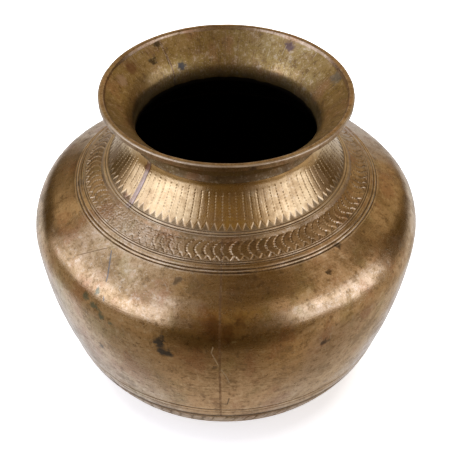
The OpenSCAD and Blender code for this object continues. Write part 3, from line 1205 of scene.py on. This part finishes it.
def studio_world():
    """Soft boxes round the pot, painted on the sky, and a white sky for what the camera sees."""
    world = bpy.data.worlds.new("studio")
    bpy.context.scene.world = world
    world.use_nodes = True
    world.node_tree.nodes.clear()
    m = Nodes(world.node_tree)

    def inside(gap, half, soft):
        low = math.radians(max(half - soft, 0))
        return m.between(m.math("ABSOLUTE", gap), low, math.radians(half + soft), 1.0, 0.0)

    x, y, z = m.add("SeparateXYZ", {0: m.add("TexCoord")["Generated"]})
    azimuth = m.math("ARCTAN2", x, m.math("MULTIPLY", y, -1.0))
    elevation = m.math("ARCSINE", m.math("MAXIMUM", m.math("MINIMUM", z, 1.0), -1.0))
    colour = SKY_BASE
    for az, half_az, soft_az, el, half_el, soft_el, light in SKY_BOXES:
        side = m.math("SUBTRACT", azimuth, math.radians(az))
        side = m.math("WRAP", side, math.pi, -math.pi)
        rise = m.math("SUBTRACT", elevation, math.radians(el))
        mask = m.times(inside(side, half_az, soft_az), inside(rise, half_el, soft_el))
        colour = m.mix(mask, colour, light)
    seen = m.mix(m.add("LightPath")["Is Camera Ray"], colour, WHITE)
    m.add("OutputWorld", {0: m.add("Background", {"Color": seen})[0]})


def paper_white(level):
    """The cool white of the soft boxes."""
    return (0.95 * level, 1.02 * level, 1.30 * level)


def floor_white(level):
    """The warmer white that the floor and the walls send back."""
    return (0.97 * level, 1.0 * level, 1.08 * level)


WHITE = (1.0, 1.0, 1.0)
SKY_BASE = (0.13, 0.086, 0.033)
# Each row is a box of light: azimuth, half width, softness, elevation, half height, softness and
# colour. Here azimuth is 0 on the camera's side and grows to the right.
SKY_BOXES = (
    (0, 180, 1, -80, 14, 8, (0.60, 0.51, 0.42)),
    (180, 95, 16, -45, 34, 9, floor_white(0.64)),
    (180, 62, 12, -36, 26, 10, floor_white(0.8)),
    (-118, 26, 10, -55, 20, 9, floor_white(0.8)),
    (116, 26, 10, -50, 22, 9, (0.58, 0.52, 0.44)),
    (0, 92, 10, -46, 18, 7, (0.29, 0.22, 0.14)),
    (-82, 24, 10, -52, 12, 7, (0.36, 0.32, 0.27)),
    (80, 24, 10, -52, 12, 7, (0.37, 0.315, 0.27)),
    (45, 17, 9, -56, 8, 6, (0.42, 0.32, 0.20)),
    (180, 44, 12, 27, 22, 9, (0.50, 0.38, 0.22)),
    (180, 26, 10, -3, 14, 8, floor_white(0.6)),
    (-142, 22, 9, 31, 16, 8, (0.55, 0.46, 0.33)),
    (142, 22, 9, 31, 16, 8, (0.52, 0.42, 0.28)),
    (0, 30, 10, 40, 15, 10, (0.24, 0.165, 0.06)),
    (-78, 40, 12, -20, 17, 9, (0.40, 0.34, 0.265)),
    (82, 34, 12, -22, 18, 9, (0.54, 0.46, 0.37)),
    (-134, 20, 8, 2, 13, 7, (0.09, 0.062, 0.025)),
    (113, 17, 6, 9, 15, 7, (0.10, 0.066, 0.025)),
    (-70, 46, 9, 70, 8, 6, (0.40, 0.32, 0.2)),
    (-70, 42, 7, 28, 32, 7, (0.46, 0.34, 0.19)),
    (-73, 43, 7, 48, 17, 6, paper_white(0.98)),
    (-69, 38, 8, 17, 18, 3, paper_white(1.35)),
    (-65, 14, 9, 16, 14, 6, paper_white(1.8)),
    (-66, 40, 9, -8, 4, 5, (0.24, 0.175, 0.07)),
    (65, 31, 7, 28, 33, 7, (0.5, 0.36, 0.19)),
    (64, 34, 9, -9, 4, 5, (0.26, 0.185, 0.07)),
    (69, 36, 7, 44, 15, 6, (0.64, 0.54, 0.45)),
    (63, 28, 6, 17, 17, 3, paper_white(1.2)),
    (60, 11, 7, 27, 8, 6, paper_white(1.75)),
    (77, 13, 7, 9, 15, 6, paper_white(1.55)),
    (-2, 31, 11, -36, 23, 9, (0.08, 0.053, 0.02)),
)
studio_world()

FLOOR = 6.0  # half the floor's width, in metres
FLOOR_DROP = 0.0002  # keeps the floor clear of the foot
FLOOR_GLOW = 0.6
FLOOR_WHITE = (0.92, 0.92, 0.92, 1)
floor_mesh = bpy.data.meshes.new("floor")
corners = [(-FLOOR, -FLOOR, 0), (FLOOR, -FLOOR, 0), (FLOOR, FLOOR, 0), (-FLOOR, FLOOR, 0)]
floor_mesh.from_pydata(corners, [], [(0, 1, 2, 3)])
floor = new_object("floor", floor_mesh)
floor.location.z = -FLOOR_DROP
paper = Shade("paper")
fibres = paper.between(paper.noise(paper.position, 900, 2), 0, 1, 0.9, 0.95)
paper.put(fibres, paper.shader.inputs["Roughness"])
paper.shader.inputs["Base Color"].default_value = FLOOR_WHITE
paper.shader.inputs["Specular IOR Level"].default_value = 0.1
paper.shader.inputs["Emission Color"].default_value = (1, 1, 1, 1)
paper.shader.inputs["Emission Strength"].default_value = FLOOR_GLOW
floor.data.materials.append(paper.material)
floor.visible_glossy = False


def area_light(name, azimuth, elevation, distance, size, power):
    """A round lamp that shines at the pot from that side and is not seen itself."""
    light = bpy.data.lights.new(name, "AREA")
    light.shape = "DISK"
    light.size = size
    light.energy = power
    a, e = math.radians(azimuth), math.radians(elevation)
    to = Vector((math.sin(a) * math.cos(e), -math.cos(a) * math.cos(e), math.sin(e)))
    lamp = new_object(name, light)
    lamp.location = to * distance
    lamp.rotation_euler = to.to_track_quat("Z", "Y").to_euler()
    lamp.visible_camera = False
    lamp.visible_glossy = False


area_light("paper_light", azimuth=180, elevation=80, distance=2.2, size=2.6, power=95)

# the camera that was fitted to the photo: metres, degrees, and the lens in millimetres
CAMERA_LENS = 97.5
CAMERA_ELEVATION = 39.69
CAMERA_DISTANCE = 0.63
CAMERA_ROLL = 0.08
LOOK_AT = Vector((-0.00052, 0, 0.0805))

camera = new_object("camera", bpy.data.cameras.new("camera"))
camera.data.sensor_width = 36
camera.data.lens = CAMERA_LENS
camera.data.clip_start = 0.01
elevation = math.radians(CAMERA_ELEVATION)
forward = Vector((0, math.cos(elevation), -math.sin(elevation)))
camera.location = LOOK_AT - forward * CAMERA_DISTANCE
camera.rotation_mode = "QUATERNION"
roll = Matrix.Rotation(math.radians(CAMERA_ROLL), 4, "Z").to_quaternion()
camera.rotation_quaternion = forward.to_track_quat("-Z", "Y") @ roll
bpy.context.scene.camera = camera
bpy.context.scene.view_settings.view_transform = "Standard"
